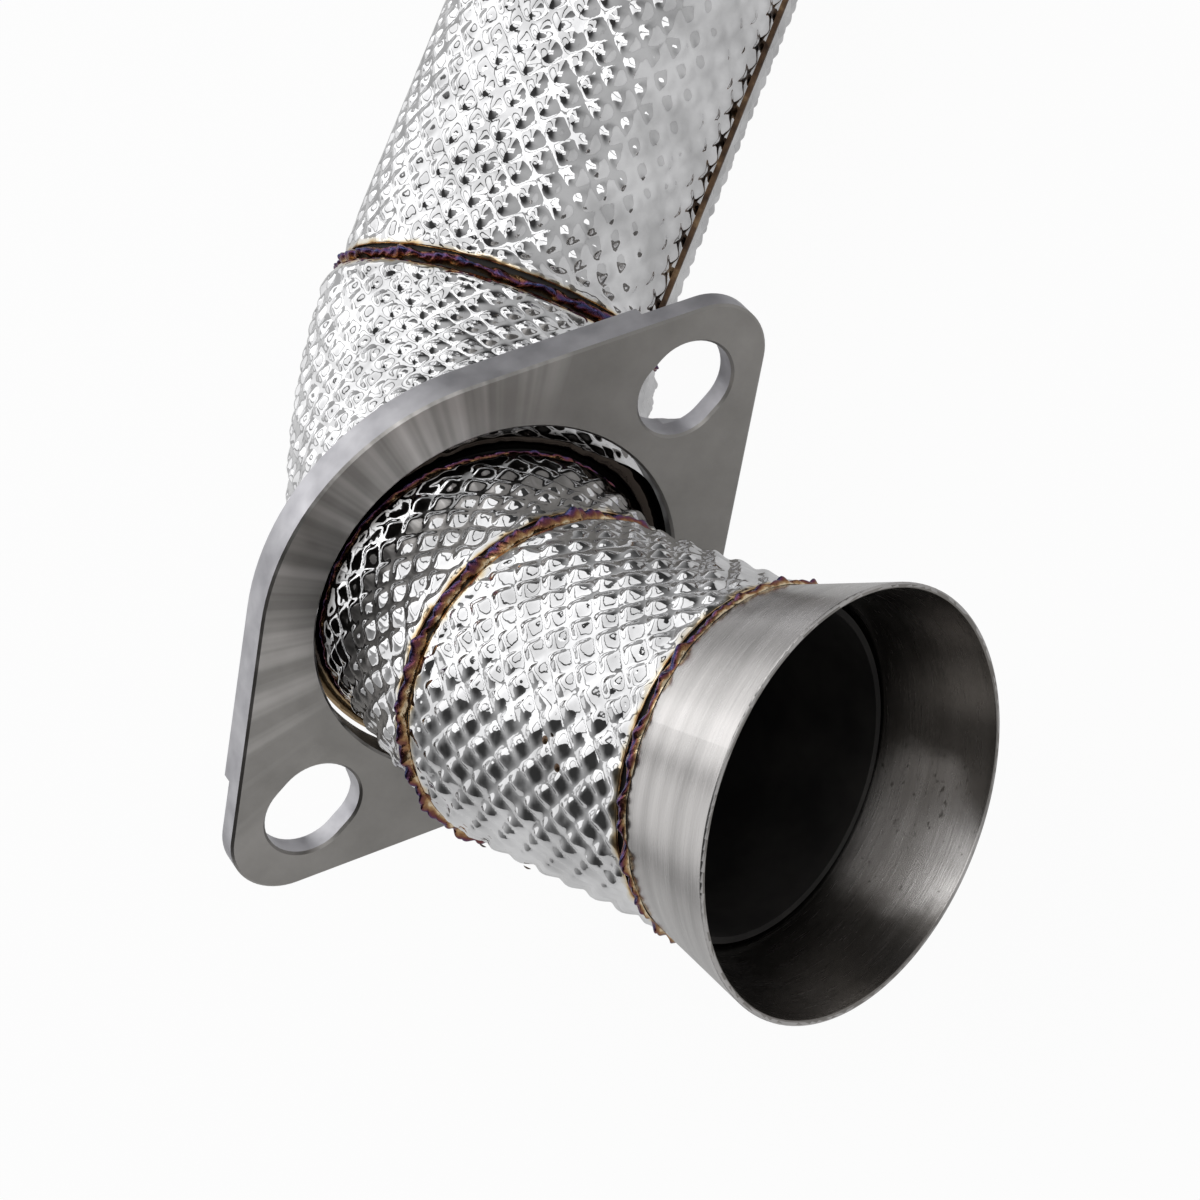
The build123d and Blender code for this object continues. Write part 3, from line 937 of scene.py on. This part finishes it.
# A bright patch on the inside, where a lamp reflects, is painted in as a highlight; the scratches
# over it are real.
from_highlight = vector_node(tree, "DISTANCE", object_point(tree), highlight_at)["Value"]
from_highlight = math_node(tree, "MULTIPLY_ADD", smears, highlight_ragged, from_highlight)
painted_highlight_patch = mask_between(tree, from_highlight, highlight_out, highlight_in)
inner = mix_colour(tree, painted_highlight_patch, inner, ramp(tree, "painted_highlight", highlight_bands, bands))
lengthwise = scratches_along(tree, round_axis, (0.05, 0.6, 0.9))
crossing = scratches_along(tree, round_axis, (0.7, 0.06, 0.8))
scratched = math_node(tree, "MAXIMUM", lengthwise, crossing)
scratched = ramp(tree, "scratches", [(0.66, 0.0), (0.74, 1.0)], scratched)
inner = mix_colour(tree, scratched, inner, scratch_colour)
# Deeper into the cone, towards the outlet tube, the inside is painted dark as shade.
depth = vector_node(tree, "SUBTRACT", object_point(tree), flare_mouth_at)["Vector"]
depth = vector_node(tree, "DOT_PRODUCT", depth, -flare_dir)["Value"]
inner = mix_colour(tree, mask_between(tree, depth, depth_shade_from, depth_shade_to), inner, cone_depth_shade)

inside = inner_wall(tree, flare_mouth_at, flare_dir)
tree.links.new(mix_colour(tree, inside, outer, inner), shader.inputs["Base Color"])
tree.links.new(math_node(tree, "MULTIPLY_ADD", lines, 0.16, 0.17), shader.inputs["Roughness"])
bump(tree, shader, lines, 0.25, 0.05 * mm)
finish_node("flare_cone", flare_material)


# Loose flange
# A plate of rolled stainless steel, cut out with two slotted ears and left loose
# on the neck: satin faces with painted reflection streaks above the bore, paler cut
# edges and a bore wall painted dark as shade.
bore_wall_within = 46.0 * mm
bore_wall_shade_colour = (0.10, 0.095, 0.09)
plate_tones = [(0.3, (0.29, 0.28, 0.265)), (0.7, (0.38, 0.365, 0.35))]
cut_tones = [(0.3, (0.38, 0.375, 0.40)), (0.7, (0.57, 0.565, 0.59))]
# Painted reflection streaks on the plate's face.
painted_reflection_colour = (0.80, 0.77, 0.75)
painted_reflection_share = 0.75
reflection_from_z = 12 * mm
reflection_to_z = 42 * mm

flange_material, tree, shader = new_material("satin_plate", Metallic=1.0, Roughness=0.36)
facing = tree.nodes.new("ShaderNodeSeparateXYZ")
tree.links.new(tree.nodes.new("ShaderNodeTexCoord").outputs["Normal"], facing.inputs["Vector"])
front = math_node(tree, "ABSOLUTE", facing.outputs["X"])
front = ramp(tree, "front or edge", [(0.25, 0.0), (0.7, 1.0)], front)

edge = ramp(tree, "cut edge", cut_tones, grain(tree, 120.0, 3.0))
from_bore = vector_node(tree, "MULTIPLY", object_point(tree), (0.0, 1.0, 1.0))["Vector"]
bore_distance = vector_node(tree, "LENGTH", from_bore)["Value"]
# The bore wall is painted near black as shade.
bore_wall = math_node(tree, "LESS_THAN", bore_distance, bore_wall_within)
edge = mix_colour(tree, bore_wall, edge, bore_wall_shade_colour)

plate = ramp(tree, "plate", plate_tones, grain(tree, 45.0, 5.0, 0.62))
# Light streaks painted on the face above the bore stand for a reflection of the bright neck foil.
reflection_spokes = set_noise(tree, vector_node(tree, "NORMALIZE", from_bore)["Vector"], 7.0, 3.0, 0.6)
reflection_spokes = ramp(tree, "light streaks", [(0.45, 0.0), (0.68, 1.0)], reflection_spokes)
height = tree.nodes.new("ShaderNodeSeparateXYZ")
tree.links.new(from_bore, height.inputs["Vector"])
reflection_band = mask_between(tree, height.outputs["Z"], reflection_from_z, reflection_to_z)
streaks = math_node(tree, "MULTIPLY", reflection_spokes, reflection_band)
streaks = math_node(tree, "MULTIPLY", streaks, painted_reflection_share)
plate = mix_colour(tree, streaks, plate, painted_reflection_colour)

tree.links.new(mix_colour(tree, front, edge, plate), shader.inputs["Base Color"])
satin = ramp(tree, "satin", [(0.3, 0.30), (0.7, 0.44)], grain(tree, 160.0, 4.0))
tree.links.new(satin, shader.inputs["Roughness"])
bump(tree, shader, grain(tree, 900.0, 3.0, 0.6), 0.2, 0.08 * mm)
finish_node("loose_flange", flange_material)


# Inlet ring
# A ring turned from stainless bar and welded to the end of the run, where the
# pipe meets the engine. Its faces keep the lathe's fine rings.
ring_tones = [(0.3, (0.44, 0.43, 0.43)), (0.7, (0.60, 0.59, 0.59))]

ring_material, tree, shader = new_material("turned_ring", Metallic=1.0, Roughness=0.34)
cuts = turned_lines(tree, inlet_face_at, run_dir, 2400.0, 3.0, 0.6)
tree.links.new(ramp(tree, "turning", ring_tones, cuts), shader.inputs["Base Color"])
bump(tree, shader, cuts, 0.25, 0.06 * mm)
finish_node("inlet_ring", ring_material)


# Seam, tacks and inlet weld
# The run's foil is closed by one long bead, the outlet's foil is held by four
# tacks, and a small bead joins the inlet ring. All are burnt brown.
browns = [(0.35, (0.045, 0.028, 0.020)), (0.55, (0.14, 0.085, 0.050)), (0.75, (0.42, 0.29, 0.16))]

seam_material, tree, shader = new_material("burnt_seam", Metallic=0.9, Roughness=0.3)
burnt_spots = ramp(tree, "browns", browns, grain(tree, 160.0, 4.0, 0.6))
tree.links.new(burnt_spots, shader.inputs["Base Color"])
bump(tree, shader, grain(tree, 600.0, 3.0, 0.6), 0.5, 0.4 * mm)
for node in ("run_seam", "inlet_weld", "foil_tack_1", "foil_tack_2", "foil_tack_3", "foil_tack_4"):
    finish_node(node, seam_material)
